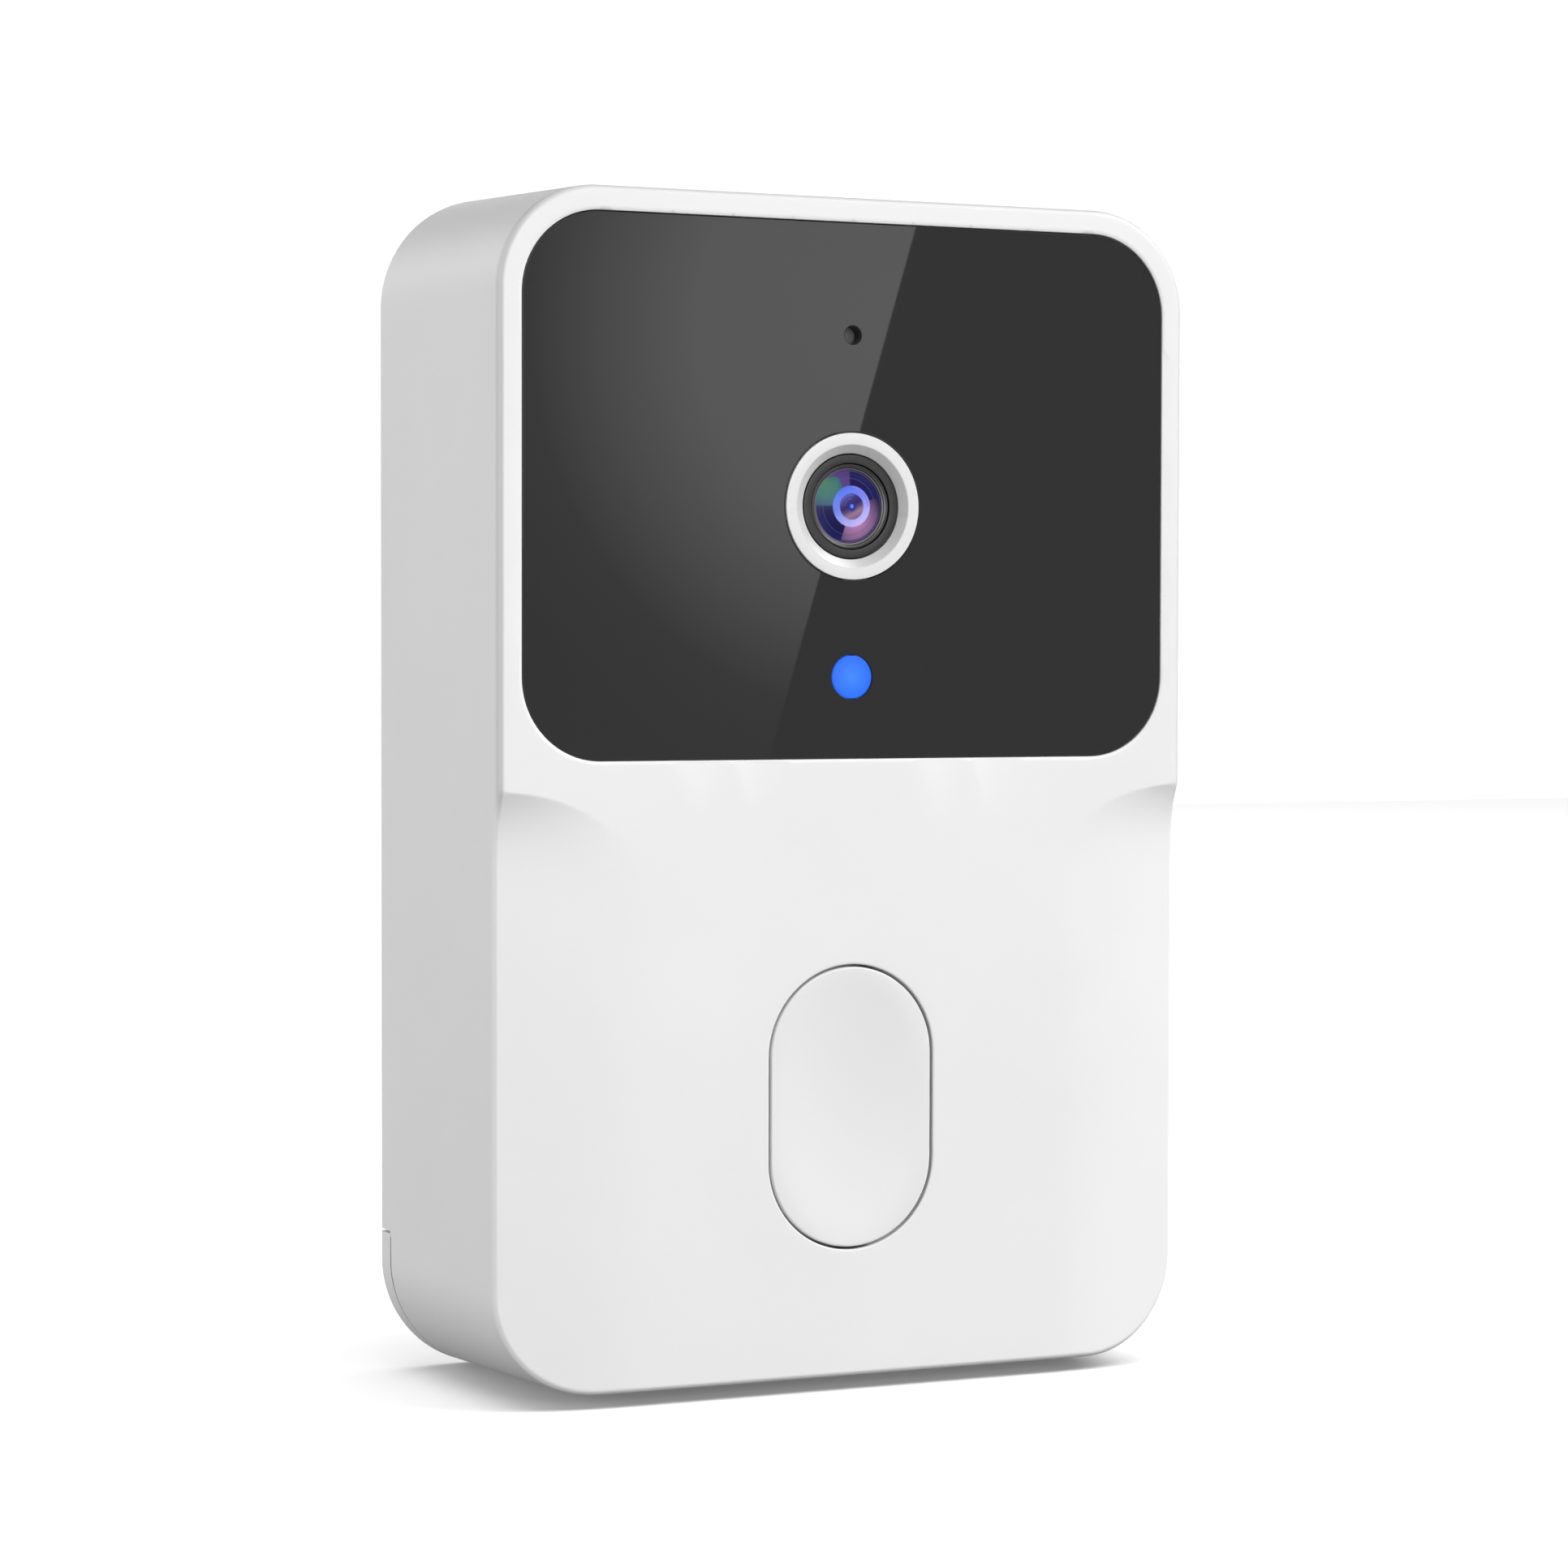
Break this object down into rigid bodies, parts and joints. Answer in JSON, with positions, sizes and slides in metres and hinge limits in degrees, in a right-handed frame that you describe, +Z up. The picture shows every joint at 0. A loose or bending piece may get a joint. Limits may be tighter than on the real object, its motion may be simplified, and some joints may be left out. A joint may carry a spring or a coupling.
{
  "type": "video doorbell",
  "caption": "Rounded white battery video doorbell with a dark camera window, a ringed lens, a status light, a press button and a slide-off rear cover.",
  "frame": {"origin": "middle of the foot, on the surface that the doorbell stands on", "axes": "+X to the right seen from the front, -Y towards the visitor, +Z up"},
  "size_m": [0.0596, 0.0238, 0.0922],
  "materials": {
    "housing_white": "fine satin moulded plastic",
    "cover_white": "fine satin moulded plastic",
    "chassis_black": "matte moulded plastic",
    "panel_smoked": "polished smoked acrylic",
    "adhesive_black": "foam adhesive",
    "bezel_white": "satin-gloss plastic",
    "lens_black": "low-sheen black",
    "lens_glass": "coated optical glass",
    "filter_glass": "coated filter glass",
    "chip_black": "moulded package",
    "board_green": "solder mask",
    "shield_metal": "tin-plated sheet",
    "ceramic_white": "white package",
    "guide_blue": "lit translucent plastic",
    "boot_rubber": "soft rubber",
    "button_white": "satin-gloss plastic",
    "switch_white": "plain plastic",
    "speaker_metal": "pressed steel",
    "cone_paper": "treated paper",
    "cell_jacket": "printed jacket without marks",
    "spring_steel": "nickel plated",
    "screw_steel": "zinc plated",
    "wire_red": "insulation",
    "wire_black": "insulation"
  },
  "bodies": {
    "housing": {"front_housing": "housing_white", "rear_chassis": "chassis_black", "front_panel": "panel_smoked", "panel_adhesive": "adhesive_black", "lens_bezel": "bezel_white", "lens_barrel": "lens_black", "lens_retaining_ring": "lens_black", "aperture_stop": "lens_black", "lens_holder": "lens_black", "lens_front_element": "lens_glass", "lens_inner_element": "lens_glass", "ir_cut_filter": "filter_glass", "image_sensor": "chip_black", "soc_chip": "chip_black", "light_sensor": "chip_black", "tact_switch_body": "chip_black", "reset_switch": "chip_black", "main_board": "board_green", "light_board": "board_green", "button_board": "board_green", "wifi_shield": "shield_metal", "microphone": "shield_metal", "chip_antenna": "ceramic_white", "ir_led_1": "ceramic_white", "ir_led_2": "ceramic_white", "ir_led_3": "ceramic_white", "ir_led_4": "ceramic_white", "status_led": "ceramic_white", "status_light_guide": "guide_blue", "microphone_boot": "boot_rubber", "speaker_gasket": "boot_rubber", "speaker_basket": "speaker_metal", "speaker_magnet": "speaker_metal", "speaker_cone": "cone_paper", "battery_cell_1": "cell_jacket", "battery_cell_2": "cell_jacket", "battery_cell_3": "cell_jacket", "battery_spring_1": "spring_steel", "battery_spring_2": "spring_steel", "battery_spring_3": "spring_steel", "battery_contact_negative": "spring_steel", "battery_contact_positive": "spring_steel", "battery_bridge_1": "spring_steel", "battery_bridge_2": "spring_steel", "housing_screw_1": "screw_steel", "housing_screw_2": "screw_steel", "housing_screw_3": "screw_steel", "housing_screw_4": "screw_steel", "board_screw_1": "screw_steel", "board_screw_2": "screw_steel", "battery_lead_positive": "wire_red", "speaker_lead": "wire_red", "battery_lead_negative": "wire_black", "button_lead": "wire_black"},
    "cover": {"rear_cover": "cover_white", "cover_screw": "screw_steel"},
    "button": {"button_cap": "button_white"},
    "switch_stem": {"tact_switch_stem": "switch_white"},
    "reset": {"reset_button": "switch_white"}
  },
  "joints": [
    {"name": "cover_slide", "type": "slide", "parent": "housing", "child": "cover", "axis": [0, 0, -1], "range_m": [0, 0.08]},
    {"name": "button_press", "type": "slide", "parent": "housing", "child": "button", "axis": [0, 1, 0], "range_m": [0, 0.0005], "stiffness_N_per_m": 2000, "springref_m": -0.0003},
    {"name": "stem_press", "type": "slide", "parent": "housing", "child": "switch_stem", "axis": [0, 1, 0], "range_m": [0, 0.0005]},
    {"name": "reset_press", "type": "slide", "parent": "housing", "child": "reset", "axis": [0, -1, 0], "range_m": [0, 0.0004], "stiffness_N_per_m": 2000, "springref_m": -0.0003}
  ],
  "couplings": [
    {"joint": "stem_press", "follows": "button_press", "ratio": 1}
  ]
}
